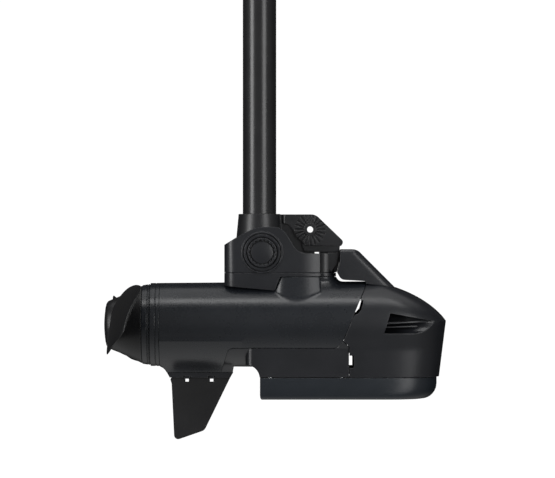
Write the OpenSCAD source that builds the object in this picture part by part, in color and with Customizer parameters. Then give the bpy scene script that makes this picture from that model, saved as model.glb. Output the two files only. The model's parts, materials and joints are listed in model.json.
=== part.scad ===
// Underwater unit of an electric trolling motor: a steering shaft, a coupler with an
// accessory ear, a sealed brushless motor with its two-blade propeller, a flooded nose
// with a sonar pod under it, and a breakaway skeg.
//
// Inside this file X points forward along the motor's axis, Z points up along the
// shaft, and both axes cross at zero. frame() then moves everything down, so that the
// part's origin is the centre of the shaft's top end.

/* [Shaft] */
// Outside diameter of the steering shaft
shaft_d = 36.8; // [36:0.1:38]
// Wall of the shaft tube
shaft_wall = 4.2; // [3.5:0.1:4.6]
// Height of the shaft's top end above the motor's axis
shaft_top = 370; // [320:1:1500]

/* [Motor] */
// Radius of the motor's barrel at its rear end
barrel_r = 45.7; // [45.2:0.1:46.2]
// Growth of the barrel's radius per millimetre forward, the casting's draft
barrel_taper = 0.0078; // [0.006:0.0002:0.009]
// Radius of the bore that holds the stator
bore_r = 40.2; // [40:0.1:40.6]
// Number of stator slots and coils
slots = 12; // [12]
// Number of rotor magnets
poles = 10; // [8:2:14]

/* [Propeller] */
// Distance from the motor's axis to a blade's tip
blade_tip_r = 132; // [110:1:135]
// Thickness of a blade at its root
blade_root_thick = 9; // [7:0.5:10]
// Thickness of a blade at its tip
blade_tip_thick = 2.4; // [2:0.1:3]
// Height of a blade's hollow over its chord
blade_camber = 2; // [0:0.5:3]

/* [Coupler] */
// Half of the width of the coupler's covers
cover_half_w = 31; // [30.5:0.5:32]
// Half of the thickness of the accessory ear
ear_half = 10; // [9:0.5:11]
// Radius of the accessory ear's cross hole
ear_hole_r = 3.4; // [3:0.1:4]
// Number of locking teeth round the ear's hole
ear_teeth = 20; // [16:4:48]
// Number of grip flutes on the cable port's cap
cap_flutes = 18; // [12:1:30]

/* [Sonar pod] */
// Half of the width of the pod and of the fairing above it
pod_half_w = 40; // [39:0.5:41]
// Depth of the pod
pod_depth = 24.3; // [22:0.1:25]

/* [Hidden] */
$fn = 96;

gap = 0.15;           // assembly clearance between pieces of one body
seam = 0.6;           // open seam between outer panels
black = [0.09, 0.09, 0.10];
charcoal = [0.14, 0.145, 0.155];
slate = [0.17, 0.18, 0.20];
steel = [0.70, 0.71, 0.73];
copper = [0.72, 0.42, 0.22];
rubber = [0.05, 0.05, 0.05];

// Stations along the motor's axis
hub_rear = -168.5;    // rear rim of the propeller's hub
hub_front = -129;     // front face of the propeller's hub
bell_rear = -128.5;   // rear face of the end bell
barrel_rear = -109;   // joint between the end bell and the barrel
spigot_front = -100;  // inner end of the end bell's spigot
stator_rear = -86;
stator_len = 62;
bulkhead_rear = -12;
bulkhead_front = 4;
cap_rear = 78;        // inner face of the front cap
cap_front = 86;       // outer face of the front cap
bearing_w = 12;
bearing_pitch_r = 14.25;
ball_r = 3.35;
rear_bearing_x = -113;
front_bearing_x = -9;
bell_screw_r = 35.3;  // pitch radius of the end bell's screws

core_r = 43.3;        // the housing's wall under the fairing and the nose's rear edge
core_front = 93;
lead_x = 42;          // place of the motor lead's gland
rail_screw_x = [-91, -47.5];
// Slanted seam between barrel and nose: x = seam_x0 + seam_slope * z
seam_x0 = 98.2;
seam_slope = 0.42;
fairing_top = -25.1;  // height of the fairing's upper edge
pod_top = -56.7;      // joint between the pod and what is above it
nose_rear = 97.5;     // seam between the fairing and the nose, below the barrel
nose_tip = 205.0;     // foremost point of the nose
nose_tip_z = 4.2;     // its height
nose_r = 47.3;        // radius of the nose where it meets the barrel
nose_blend = 125;     // where the nose's sides begin to close
nose_blunt = 3;       // 2 closes them in an ellipse, and more is blunter

// Heights in the coupler
saddle_top = 52.5;    // top of the barrel's saddle
collar_top = 56.7;    // joint between the collar and the covers
socket_top = 121.5;
socket_floor = 93;    // where the shaft's end rests
port_x = 3;           // centre of the cable port
port_z = 79.3;
port_r = 17.2;        // bore of the cable port in the cover
plug_r = 12;          // radius of the cap's threaded plug
plug_end = -17;       // y of the plug's inner end
ear_x = 55.7;         // centre of the accessory ear's hole
ear_z = 104.5;
// Covers' screws: x, z, and y of the underside of the head
cross_screws = [[-31.5, 66, 26], [-31.5, 81, 26], [60.5, 64, 21.5]];
flange_screws = [[28, 18.8], [48, 18.8]];  // x, y of the coupler's screws
shaft_bore_r = shaft_d / 2 - shaft_wall;
spigot_r = shaft_d / 2 - 0.4;   // the tube's turned end, inside the coupler

module frame() { translate([0, 0, -shaft_top]) children(); }

// ---------- outlines ----------

function unit(v) = v / norm(v);
function turn(a) = a > 180 ? a - 360 : a < -180 ? a + 360 : a;
// Arc of radius r that rounds the corner b between a and c
function corner(a, b, c, r, n) =
    let (u = unit(a - b), w = unit(c - b), half = acos(max(-1, min(1, u * w))) / 2,
         reach = r / tan(half), centre = b + unit(u + w) * r / sin(half),
         p = b + u * reach - centre, q = b + w * reach - centre,
         from = atan2(p.y, p.x), sweep = turn(atan2(q.y, q.x) - from))
    [for (i = [0:n]) centre + r * [cos(from + sweep * i / n), sin(from + sweep * i / n)]];
function xy(p) = [p[0], p[1]];
// Closed outline through points [x, y, corner radius]
function rounded(pts, n = 6) =
    [for (i = [0:len(pts) - 1])
        let (b = pts[i], a = pts[(i + len(pts) - 1) % len(pts)], c = pts[(i + 1) % len(pts)])
        each b[2] > 0 ? corner(xy(a), xy(b), xy(c), b[2], n) : [xy(b)]];

// ---------- solids ----------

module along_x(from, to, r, r_to) {
    translate([from, 0, 0]) rotate([0, 90, 0])
        cylinder(h = to - from, r1 = r, r2 = is_undef(r_to) ? r : r_to);
}
module ring_x(from, to, r_out, r_in) {
    difference() {
        along_x(from, to, r_out);
        along_x(from - 1, to + 1, r_in);
    }
}
// Turns a profile of [x, radius] points about the motor's axis
module turned_x(profile) {
    rotate([0, 90, 0]) rotate_extrude() polygon([for (p = profile) [p[1], p[0]]]);
}
// Extrudes an outline of [x, z] points from one y to another
module across(pts, y0, y1) {
    translate([0, y1, 0]) rotate([90, 0, 0]) linear_extrude(y1 - y0) polygon(pts);
}
// Extrudes an outline of [x, y] points between two heights
module upright(pts, z0, z1) {
    translate([0, 0, z0]) linear_extrude(z1 - z0) polygon(pts);
}
module cylinder_y(x, z, y0, y1, r, r_to) {
    translate([x, y1, z]) rotate([90, 0, 0])
        cylinder(h = y1 - y0, r1 = is_undef(r_to) ? r : r_to, r2 = r);
}
// Skins rings of equal point counts, and closes both ends
module loft(rings) {
    n = len(rings[0]);
    m = len(rings);
    sides = [for (i = [0:m - 2], j = [0:n - 1])
        let (a = i * n + j, b = i * n + (j + 1) % n)
        each [[a, b + n, b], [a, a + n, b + n]]];
    first = [for (j = [0:n - 1]) j];
    last = [for (j = [n - 1:-1:0]) (m - 1) * n + j];
    polyhedron(points = [for (r = rings) each r], faces = concat(sides, [first, last]));
}

// Barrel's outer radius at x
function barrel_at(x) = barrel_r + (x - barrel_rear) * barrel_taper;
barrel_end = 122;     // the barrel is cut back from here by the slanted seam
module barrel_envelope(inset = 0) {
    along_x(barrel_rear, barrel_end, barrel_at(barrel_rear) - inset, barrel_at(barrel_end) - inset);
}

// Everything behind the slanted seam, moved back by a clearance
module behind_seam(back = 0) {
    top = 60;
    across([[-130, -90], [seam_x0 - back - seam_slope * 90, -90],
        [seam_x0 - back + seam_slope * top, top], [-130, top]], -60, 60);
}

// Side outline of the lower fairing; grow widens it all round
function fairing_outline(grow = 0) = rounded([
    [-44 - grow, -57 - grow, 0], [-33.5 - grow, fairing_top + grow, 8],
    [84 + grow * 0.4, fairing_top + grow, 7], [91.2 + grow * 0.4, -17.2 + grow, 0],
    [nose_rear + grow, -23, 2.5], [nose_rear + grow, -70, 0], [-44 - grow, -70, 0]]);

// ---------- nose envelope ----------

// How far forward the nose reaches at height z, less an inset
function nose_reach(z, inset) =
    let (peak = nose_r - inset, u = (z - nose_tip_z) / (peak - nose_tip_z), tip = nose_tip - inset * 1.3)
    z < nose_tip_z ? tip - (nose_tip_z - z) * 0.125
        : 117 + (tip - 117) * pow(max(0, 1 - u), 0.596) * pow(1 + u, 0.26);
// Half width of the nose's rear section at height z
function nose_width(z, inset) =
    z < -24.7 ? pod_half_w - inset : sqrt(max(0.01, pow(nose_r - inset, 2) - z * z));
// Share of the nose's reach at each turn of its plan, from one side round to the other
function front_share(a) = pow(max(0, cos(a)), 2 / nose_blunt);
// One level of the nose: its rounded plan, closed at the rear
function nose_level(z, inset, rear = 80, n = 20) =
    let (
        start = min(nose_blend, nose_reach(z, inset) - 15),
        reach = nose_reach(z, inset) - start,
        w = nose_width(z, inset))
    concat([[rear, -w, z]],
        [for (i = [0:n]) let (a = -90 + 180 * i / n) [start + reach * front_share(a), w * sin(a), z]],
        [[rear, w, z]]);
function nose_heights(low, inset) = concat(
    [low, -44, -30], [for (a = [-31:11:84]) (nose_r - inset) * sin(a)], [(nose_r - inset) * sin(88.5)]);
module nose_envelope(inset = 0, low = pod_top) {
    loft([for (z = nose_heights(low, inset)) nose_level(z, inset)]);
}
// Level of the pod at its front, for a plan outline
function pod_plan(inset = 0, tip = 195, rear = 0.7, n = 20) = concat(
    [[rear + inset, -pod_half_w + inset]],
    [for (i = [0:n]) let (a = -90 + 180 * i / n)
        [nose_blend + (tip - inset - nose_blend) * front_share(a), (pod_half_w - inset) * sin(a)]],
    [[rear + inset, pod_half_w - inset]]);

// ---------- shaft and coupler ----------

module shaft_tube() {
    color(slate) difference() {
        union() {
            translate([0, 0, socket_top]) cylinder(h = shaft_top - socket_top, d = shaft_d);
            translate([0, 0, socket_floor]) cylinder(h = socket_top - socket_floor + 1, r = spigot_r);
        }
        translate([0, 0, socket_floor - 1]) cylinder(h = shaft_top, r = shaft_bore_r);
    }
}

ear_outline = rounded([
    [-1, socket_top - 0.5, 0], [61.5, socket_top - 0.5, 12], [92.8, 90.9, 4],
    [89.6, 86.4, 1], [50, 87.4, 2.5], [40.5, 97, 9], [33.5, 109.5, 7], [24, 112, 0], [-1, 112, 0]]);
// Middle web, which closes the space between the two covers as far as the cable arm
web_outline = [
    [-10, 57.4], [84.7, 57.4], [85.1, 58.5], [87.8, 69.5], [88.1, 84], [60, 100], [24, 116], [-10, 116]];
// Thicker plate under the ear with the lug in front of it
plate_outline = [
    [46.7, 90], [46.7, 87.4], [48.9, 80.9], [66.4, 79.8], [87.4, 79.8], [88.6, 87.5], [80, 90]];
// Narrow plate in front of the column, down to the collar
lug_outline = [[75.4, 79], [75.8, 61.2], [78.5, 58], [84, 65.6], [86.2, 73.3], [87.3, 79]];
lug_half = 13;
ear_rear = 24.7;      // the ear stands out from the web in front of this
duct_z = 71.5;        // height of the sonar lead's duct through coupler and arm
duct_r = 3.8;

module ear_serration(side) {
    tooth_from = 6.8;
    tooth_w = 1.7;
    for (i = [0:ear_teeth - 1])
        translate([ear_x, side * ear_half, ear_z]) rotate([0, i * 360 / ear_teeth, 0])
            translate([tooth_from, 0, 0]) rotate([45, 0, 0])
                translate([0, -tooth_w / 2, -tooth_w / 2]) cube([10.4, tooth_w, tooth_w]);
}
// The ear with its rear corners rounded, and a thinner web between it and the socket
module ear_block() {
    intersection() {
        across(ear_outline, -ear_half, ear_half);
        union() {
            upright(rounded([
                [ear_rear, ear_half, 4.5], [ear_rear, -ear_half, 4.5],
                [95, -ear_half, 0], [95, ear_half, 0]]), 80, 130);
            translate([-5, 4 - ear_half, 80]) cube([ear_rear + 15, 2 * ear_half - 8, 50]);
        }
    }
}
module shaft_coupler() {
    color(black) difference() {
        union() {
            translate([0, 0, 62]) cylinder(h = 35, r = 25.3);
            translate([0, 0, 97]) cylinder(h = socket_top - 97, r1 = 25.3, r2 = 23);
            ear_block();
            across(web_outline, -6, 6);
            across(plate_outline, -8.6, 8.6);
            across(lug_outline, -lug_half, lug_half);
            // round column under the plate
            intersection() {
                translate([nose_x, 0, collar_top + seam]) cylinder(h = 20.8, r = nose_half - 1);
                translate([cover_end + 0.4, -20, 50]) cube([30, 40, 40]);
            }
            translate([-27, -25, collar_top + 0.1]) cube([83, 50, 9.2]);
            // flange on the saddle
            upright([[20, -25], [52, -25], [62.5, -17], [62.5, 17], [52, 25], [20, 25]],
                saddle_top + gap, 58.6);
        }
        translate([0, 0, socket_floor]) cylinder(h = 40, r = spigot_r + 0.05);
        translate([0, 0, 50]) cylinder(h = 50, r = shaft_bore_r);
        // wiring chamber, open to the motor below and to the port at the side
        upright(rounded([[-14, -13, 5], [20, -13, 0], [20, 13, 0], [-14, 13, 5]]), 40, 84);
        upright(rounded([[18, -13, 0], [54, -13, 5], [54, 13, 5], [18, 13, 0]]), 40, 76.6);
        cylinder_y(port_x, port_z, -40, -5, plug_r + 0.1);
        translate([40, 0, duct_z]) rotate([0, 90, 0]) cylinder(h = 60, r = duct_r);
        cylinder_y(ear_x, ear_z, -20, 20, ear_hole_r);
        ear_serration(1);
        ear_serration(-1);
        // window under the ear
        translate([60.6, -20, 75.5]) cube([4.9, 40, 4.2]);
        for (s = cross_screws) cylinder_y(s[0], s[1], -40, 40, 2.3);
        for (s = flange_screws, side = [-1, 1]) translate([s[0], side * s[1], 0]) {
            translate([0, 0, 40]) cylinder(h = 30, r = 3.3);
            translate([0, 0, 61.2]) cylinder(h = 30, r = 5.3);
        }
    }
}

module coupler_screws() {
    color(steel) for (s = flange_screws, side = [-1, 1]) translate([s[0], side * s[1], 0])
        difference() {
            union() {
                translate([0, 0, 40]) cylinder(h = 21.3, r = 3);
                translate([0, 0, 61.3]) cylinder(h = 4, r = 5);
            }
            translate([0, 0, 62.8]) cylinder(h = 5, r = 2.9, $fn = 6);
        }
}

// Plan of covers and collar: straight beside the shaft, and closing gently in front
module cover_prism(inset, z0, z1) {
    w = cover_half_w - inset;
    back = -38.4 + inset;
    upright(rounded([
        [back, w, 13 - inset], [back, -w, 13 - inset],
        [side_turn, -w, 0], [side_turn, w, 0]]), z0, z1);
    intersection() {
        shared_by_sides(side_r - cover_half_w)
            translate([side_turn, 0, z0]) cylinder(h = z1 - z0, r = side_r - inset);
        translate([side_turn - 5, -40, z0]) cube([cover_end + 10 - side_turn, 80, z1 - z0]);
    }
}
// What the child shares with itself moved to either side
module shared_by_sides(offset_y) {
    intersection() {
        translate([0, offset_y, 0]) children();
        translate([0, -offset_y, 0]) children();
    }
}
side_r = 70;          // radius of the rounded sides, and where they begin to close
side_turn = 43;
cover_end = 66.4;     // front of the covers
nose_x = 68.7;        // narrower round front of collar and saddle
nose_half = 15.5;
function cover_side(drop = 0) = rounded([
    [-50, 30, 0], [-50, 80.5 - drop, 0], [-23.3, 96.9 - drop, 3], [-7, 105 - drop, 22], [3, 107.3 - drop, 14],
    [21.5, 106.9 - drop, 13], [28.5, 101 - drop, 9], [41.5, 80.2 - drop, 15], [49, 78.6 - drop, 6],
    [cover_end - drop, 77.8 - drop, 0], [cover_end - drop, 30, 0]]);

module cover_body() {
    difference() {
        intersection() {
            cover_prism(0, collar_top + seam, 110);
            across(cover_side(), -40, 40);
        }
        intersection() {
            cover_prism(3, collar_top - 1, 110);
            across(cover_side(3), -40, 40);
        }
        translate([0, 0, 90]) cylinder(h = 7, r = 25.6);
        translate([0, 0, 97]) cylinder(h = 24.5, r1 = 25.6, r2 = 23.3);
        translate([20, -6.3, 50]) cube([80, 12.6, 41]);
        translate([20, -ear_half - 0.3, 84]) cube([80, 2 * ear_half + 0.6, 40]);
    }
}
module cover_half(side) {
    intersection() {
        cover_body();
        translate([-60, side > 0 ? gap / 2 : -60, 40]) cube([160, 60 - gap / 2, 90]);
    }
}
module screw_posts(side) {
    for (s = cross_screws) difference() {
        cylinder_y(s[0], s[1], side > 0 ? 10.5 : -27.5, side > 0 ? 27.5 : -10.5, 4.2);
        cylinder_y(s[0], s[1], -40, 40, 2.2);
    }
}

module side_cover_right() {
    color(charcoal) difference() {
        union() {
            cover_half(-1);
            intersection() {
                screw_posts(-1);
                cover_prism(0.5, collar_top + seam, 110);
            }
            // boss and raised rings of the cable port
            cylinder_y(port_x, port_z, -cover_half_w, -cover_half_w + 5, port_r + 3);
            cylinder_y(port_x, port_z, -cover_half_w - 1.3, -cover_half_w, port_r + 5.2, port_r + 5.7);
        }
        cylinder_y(port_x, port_z, -50, -cover_half_w + 4, port_r);
        cylinder_y(port_x, port_z, -50, -20, 12.4);
        // groove between the two rings
        difference() {
            cylinder_y(port_x, port_z, -50, -cover_half_w + 1.4, port_r + 4);
            cylinder_y(port_x, port_z, -51, -20, port_r + 2.7);
        }
    }
}
module side_cover_left() {
    color(charcoal) difference() {
        union() {
            cover_half(1);
            intersection() {
                screw_posts(1);
                cover_prism(0.5, collar_top + seam, 110);
            }
        }
        for (s = cross_screws) {
            cylinder_y(s[0], s[1], -10, 60, 2.25);
            cylinder_y(s[0], s[1], s[2], 60, 3.8);
        }
    }
}
module cover_screws() {
    color(steel) for (s = cross_screws) difference() {
        union() {
            cylinder_y(s[0], s[1], -22, s[2] + 0.2, 2);
            cylinder_y(s[0], s[1], s[2] + 0.05, s[2] + 3.6, 3.5);
        }
        translate([s[0], s[2] + 5, s[1]]) rotate([90, 0, 0]) cylinder(h = 3.6, r = 1.75, $fn = 6);
    }
}

// Collar's plan: the covers' own, and the narrower front beyond them
module collar_plan(inset, z0, z1) {
    intersection() {
        cover_prism(inset, z0, z1);
        translate([-60, -50, z0]) cube([60 + cover_end - inset, 100, z1 - z0]);
    }
    translate([nose_x, 0, z0]) cylinder(h = z1 - z0, r = nose_half - inset);
}
module base_collar() {
    color(charcoal) difference() {
        union() {
            collar_plan(0, saddle_top + seam, collar_top);
            // lips that close the seams from inside
            collar_plan(1.4, saddle_top + gap, collar_top + seam - gap);
            intersection() {
                collar_plan(0, 20, saddle_top + 1);
                across([
                    [-50, 60], [-50, 43.9], [-38, 42.8], [15.6, 37.9],
                    [17.4, 38.9], [22.3, 52.7], [22.3, 60]], -40, 40);
            }
        }
        collar_plan(3.2, 20, 70);
        barrel_envelope(-0.4);
        // room for the saddle's flared foot
        difference() {
            saddle_solid(0.5);
            translate([-50, -50, saddle_top + gap]) cube([200, 100, 20]);
        }
    }
}

// ---------- cable port ----------

cap_dome_r = 66;      // radius of the cap's shallow dome
cap_pocket_r = 13;    // scalloped pocket round the dome

module port_cap() {
    color(slate) difference() {
        union() {
            difference() {
                cylinder_y(port_x, port_z, -34.6, -29, 15.9, 14.9);
                cylinder_y(port_x, port_z, -36, -31.4, cap_pocket_r);
                for (i = [0:cap_flutes - 1])
                    translate([port_x, -31.3, port_z]) rotate([0, i * 360 / cap_flutes, 0])
                        translate([cap_pocket_r, 0, 0]) rotate([90, 0, 0]) cylinder(h = 4.5, r = 1.5, $fn = 24);
            }
            intersection() {
                translate([port_x, cap_dome_r - 34.5, port_z]) sphere(r = cap_dome_r);
                cylinder_y(port_x, port_z, -38, -31, cap_pocket_r - 1);
            }
            cylinder_y(port_x, port_z, -29.05, plug_end, plug_r);
        }
        // seal's groove round the plug
        difference() {
            cylinder_y(port_x, port_z, -27.5, -25.9, 20);
            cylinder_y(port_x, port_z, -28, -25, plug_r - 1.3);
        }
        cylinder_y(port_x, port_z, -27, 0, plug_r - 3);
    }
}
module port_seal() {
    color(rubber) translate([port_x, -26.7, port_z]) rotate([90, 0, 0])
        rotate_extrude() translate([plug_r - 0.62, 0]) circle(r = 0.62, $fn = 24);
}

// ---------- cable arm ----------

arm_outline = rounded([
    [88.5, 82.8, 1.5], [106.9, 82.8, 12], [149.6, 40.1, 0], [149.4, 39.6, 0],
    [143, 41.6, 0], [116.8, 45, 0], [116.2, 47.9, 0], [90, 49.5, 5], [85.5, 57.4, 3], [88.3, 69, 0]]);
arm_half = 21;
module cable_arm() {
    color(charcoal) difference() {
        intersection() {
            across(arm_outline, -arm_half, arm_half);
            // plan: slightly narrower toward the nose, with rounded flanks
            hull() for (side = [-1, 1]) {
                translate([78, side * (arm_half - 8), 76.4]) sphere(r = 8, $fn = 32);
                translate([102, side * (arm_half - 8), 76.4]) sphere(r = 8, $fn = 32);
                translate([148, side * (arm_half - 11), 30.4]) sphere(r = 8, $fn = 32);
                translate([78, side * (arm_half - 3), 30]) sphere(r = 3, $fn = 24);
                translate([148, side * (arm_half - 6), 26]) sphere(r = 3, $fn = 24);
            }
        }
        nose_envelope(-0.3);
        translate([70, 0, duct_z]) rotate([0, 90, 0]) cylinder(h = 42, r = duct_r);
        translate([111.5, 0, duct_z]) sphere(r = duct_r);
        translate([111.5, 0, duct_z]) rotate([0, 134, 0]) cylinder(h = 60, r = duct_r);
        translate([riser_x, 0, 20]) cylinder(h = 25, r = duct_r);
        for (side = [-1, 1]) translate([arm_screw_x, side * arm_screw_y, 30]) cylinder(h = 21, r = 2.02);
    }
}
arm_screw_x = 126;
arm_screw_y = 13;
arm_screw_head = 33;  // height of the underside of the screws' heads
module arm_screws() {
    color(steel) for (side = [-1, 1])
        translate([arm_screw_x, side * arm_screw_y, arm_screw_head]) difference() {
        union() {
            cylinder(h = 2.9, r = 3.5);
            cylinder(h = 17, r = 2);
        }
        translate([0, 0, -1]) cylinder(h = 2.6, r = 1.6, $fn = 6);
    }
}

// ---------- motor housing ----------

// Saddle on top of the barrel, flared toward its foot: rounded sides, cut off in front
// where a narrower round nose carries on
saddle_x = 41.6;      // where the saddle is widest
saddle_half_w = 30.9;
corner_r = 18;        // its rounded rear corners
corner_at = [30.6, 11.7];
corner_turn = 102.2;  // direction in which a corner runs into its side
function arc(centre, r, from, to, steps) =
    [for (i = [0:steps]) let (a = from + (to - from) * i / steps) centre + r * [cos(a), sin(a)]];
function saddle_plan(grow) =
    let (half = concat(
        arc(corner_at, corner_r + grow, 180, corner_turn, 7),
        arc([saddle_x, saddle_half_w - side_r], side_r + grow, corner_turn - 3, 60, 12)))
    concat(half, [for (i = [len(half) - 1:-1:0]) [half[i][0], -half[i][1]]]);
module saddle_solid(grow = 0) {
    foot = 12;
    nose_foot = 32;
    flare = 11;
    intersection() {
        hull() {
            upright(saddle_plan(flare + grow), foot, foot + 0.02);
            upright(saddle_plan(grow), saddle_top, saddle_top + 0.02);
        }
        across([
            [-10, 0], [cover_end + 1 + grow, 0],
            [cover_end + grow, saddle_top + 0.1], [-10, saddle_top + 0.1]], -70, 70);
    }
    translate([nose_x, 0, nose_foot])
        cylinder(h = saddle_top - nose_foot, r1 = nose_half + 7 + grow, r2 = nose_half + grow);
}
// Pylon under the barrel that carries the skeg
module pylon_solid() {
    hull() {
        translate([-109, -24, -34]) cube([83, 48, 0.1]);
        translate([-101.8, -7.5, -52.3]) cube([72.4, 15, 0.1]);
    }
}
module motor_housing() {
    color(charcoal) difference() {
        union() {
            intersection() {
                barrel_envelope();
                behind_seam(seam / 2);
            }
            intersection() {
                saddle_solid();
                translate([-50, -50, 30]) cube([200, 100, saddle_top - 30]);
            }
            difference() {
                saddle_solid();
                translate([-50, -60, 30]) cube([200, 120, 40]);
                along_x(-110, 130, 44);
                translate([-50, -60, -10]) cube([200, 120, 20]);
            }
            pylon_solid();
            along_x(0, core_front, core_r);
        }
        along_x(barrel_rear - 1, -99.2, bore_r);
        along_x(-100, -93, 32.4);
        along_x(-93.2, 140, bore_r);
        along_x(cap_front + 0.4, cap_front + 2.6, bore_r + 1.6);
        // recess under the lower fairing
        difference() {
            across(fairing_outline(seam), -70, 70);
            along_x(-120, 130, core_r);
        }
        translate([lead_x, 0, 20]) cylinder(h = 50, r = 9);
        for (x = rail_screw_x) translate([x, 0, -56]) cylinder(h = 12, r = 1.52);
        for (s = flange_screws, side = [-1, 1])
            translate([s[0], side * s[1], 39.8]) cylinder(h = 30, r = 3.02);
        for (i = [0:3]) rotate([45 + i * 90, 0, 0])
            translate([-100, 0, bell_screw_r]) rotate([0, 90, 0]) cylinder(h = 8, r = 2.02);
    }
}
module lead_gland() {
    color(rubber) difference() {
        union() {
            translate([lead_x, 0, 44]) cylinder(h = 11, r = 8.9);
            translate([lead_x, 0, saddle_top + gap]) cylinder(h = 3, r = 11);
        }
        translate([lead_x, 0, 20]) cylinder(h = 50, r = motor_lead_r + 0.1);
    }
}

// ---------- end bell and seals ----------

module rear_bell() {
    color(slate) difference() {
        turned_x([
            [bell_rear, 6.8], [bell_rear, 42.9], [-128.1, 43.3], [-122.9, 44.1], [-122.6, 43.5], [-122.1, 43.5],
            [-121.8, 44.3], [-120.8, 44.4], [-120.5, 43.7], [-120, 43.7], [-119.6, 45.2], [-119.2, 45.6],
            [-114.1, 45.65], [-113.8, 45.1], [-113.3, 45.1], [-113, 45.65],
            [barrel_rear - 0.3, barrel_r], [barrel_rear - 0.3, bore_r - gap],
            [-105.6, bore_r - gap], [-105.6, bore_r - 2.2], [-102.6, bore_r - 2.2], [-102.6, bore_r - gap],
            [spigot_front, bore_r - gap], [spigot_front, 27], [-102, 25], [-102, 6.8]]);
        along_x(rear_bearing_x, -95, 20.05);
        along_x(rear_bearing_x - 2.6, -95, 12.8);
        along_x(-127, -119.5, 13.05);
        for (i = [0:3]) rotate([45 + i * 90, 0, 0]) {
            translate([-130, 0, bell_screw_r]) rotate([0, 90, 0]) cylinder(h = 40, r = 2.2);
            translate([-130, 0, bell_screw_r]) rotate([0, 90, 0]) cylinder(h = 5, r = 4);
        }
    }
}
module torus_x(x, ring_r, section_r) {
    translate([x, 0, 0]) rotate([0, 90, 0])
        rotate_extrude() translate([ring_r, 0]) circle(r = section_r, $fn = 24);
}
module bell_seal_ring() { color(rubber) torus_x(-104.1, bore_r - 1.1, 1); }
module bell_screws() {
    color(steel) for (i = [0:3]) rotate([45 + i * 90, 0, 0]) translate([0, 0, bell_screw_r]) difference() {
        union() {
            along_x(-125, -94, 2);
            along_x(-128.4, -124.98, 3.6);
        }
        translate([-129, 0, 0]) rotate([0, 90, 0]) cylinder(h = 2.6, r = 1.8, $fn = 6);
    }
}
module prop_shaft_seal() { color(rubber) ring_x(-126.9, -120, 13, 6.06); }

// ---------- bearings ----------

module bearing_race(x, r_in, r_out) {
    difference() {
        ring_x(x, x + bearing_w, r_out, r_in);
        torus_x(x + bearing_w / 2, bearing_pitch_r, ball_r + 0.06);
    }
}
module each_bearing() { for (x = [rear_bearing_x, front_bearing_x]) { $bx = x; children(); } }
module bearing_outer_races() { color(steel) each_bearing() bearing_race($bx, 16.3, 20); }
module bearing_inner_races() { color(steel) each_bearing() bearing_race($bx, 8.52, 12.2); }
module balls(x, r) {
    for (i = [0:7]) rotate([i * 45, 0, 0]) translate([x + bearing_w / 2, 0, bearing_pitch_r]) sphere(r = r);
}
module bearing_balls() { color(steel) each_bearing() balls($bx, ball_r); }
module bearing_cages() {
    color(copper) each_bearing() difference() {
        ring_x($bx + 2.2, $bx + bearing_w - 2.2, 15.1, 13.4);
        balls($bx, ball_r + 0.12);
    }
}

// ---------- stator and rotor ----------

module stator_core() {
    tooth_half = 3;
    color(steel) translate([stator_rear, 0, 0]) rotate([0, 90, 0]) linear_extrude(stator_len) difference() {
        circle(r = bore_r - gap);
        circle(r = 24.3);
        for (i = [0:slots - 1]) rotate(i * 360 / slots) {
            square([27, 2.6], center = false);
            polygon([[26.3, -3.9], [34.5, -6.1], [34.5, 6.1], [26.3, 3.9]]);
        }
    }
}
module stator_coils() {
    color(copper) for (i = [0:slots - 1]) rotate([-(i + 0.5) * 360 / slots, 0, 0])
        translate([stator_rear - 5.5, 0, 0]) difference() {
            translate([0, -6, 26.8]) cube([stator_len + 11, 12, 6.4]);
            translate([5, -3.35, 20]) cube([stator_len + 1, 6.7, 20]);
        }
}
module rotor_core() { color(steel) ring_x(stator_rear, stator_rear + stator_len, 20, 8.52); }
module rotor_magnets() {
    span = 360 / poles - 4;
    color(slate) for (i = [0:poles - 1]) rotate([i * 360 / poles, 0, 0]) intersection() {
        ring_x(stator_rear, stator_rear + stator_len, 23.4, 20.03);
        across_wedge(span);
    }
}
module across_wedge(span) {
    far = 40;
    translate([stator_rear - 1, 0, 0]) rotate([0, 90, 0]) linear_extrude(stator_len + 2)
        polygon([[0, 0], [far * cos(span / 2), far * sin(span / 2)], [far * cos(span / 2), -far * sin(span / 2)]]);
}
module prop_shaft() {
    color(steel) difference() {
        union() {
            along_x(-164, -152.5, 5);
            along_x(-152.5, rear_bearing_x - 2, 6);
            along_x(rear_bearing_x - 2, rear_bearing_x, 10);
            along_x(rear_bearing_x, 4, 8.5);
        }
        cylinder_y(-133.4, 0, -10, 10, 2.52);
    }
}
module front_bulkhead() {
    color(steel) difference() {
        union() {
            along_x(bulkhead_rear, -4, bore_r - gap);
            along_x(-4.01, bulkhead_front, 25);
        }
        along_x(front_bearing_x, 10, 20.05);
        along_x(-20, 0, 12.8);
        for (i = [0:2]) rotate([i * 120 + 60, 0, 0])
            translate([-20, 0, 30]) rotate([0, 90, 0]) cylinder(h = 30, r = 5);
    }
}
module sensor_magnet() { color(slate) along_x(4.05, 7, 5); }
module sensor_board() { color("darkgreen") translate([9, -14, -14]) cube([1.6, 28, 28]); }

// ---------- controller ----------

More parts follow.
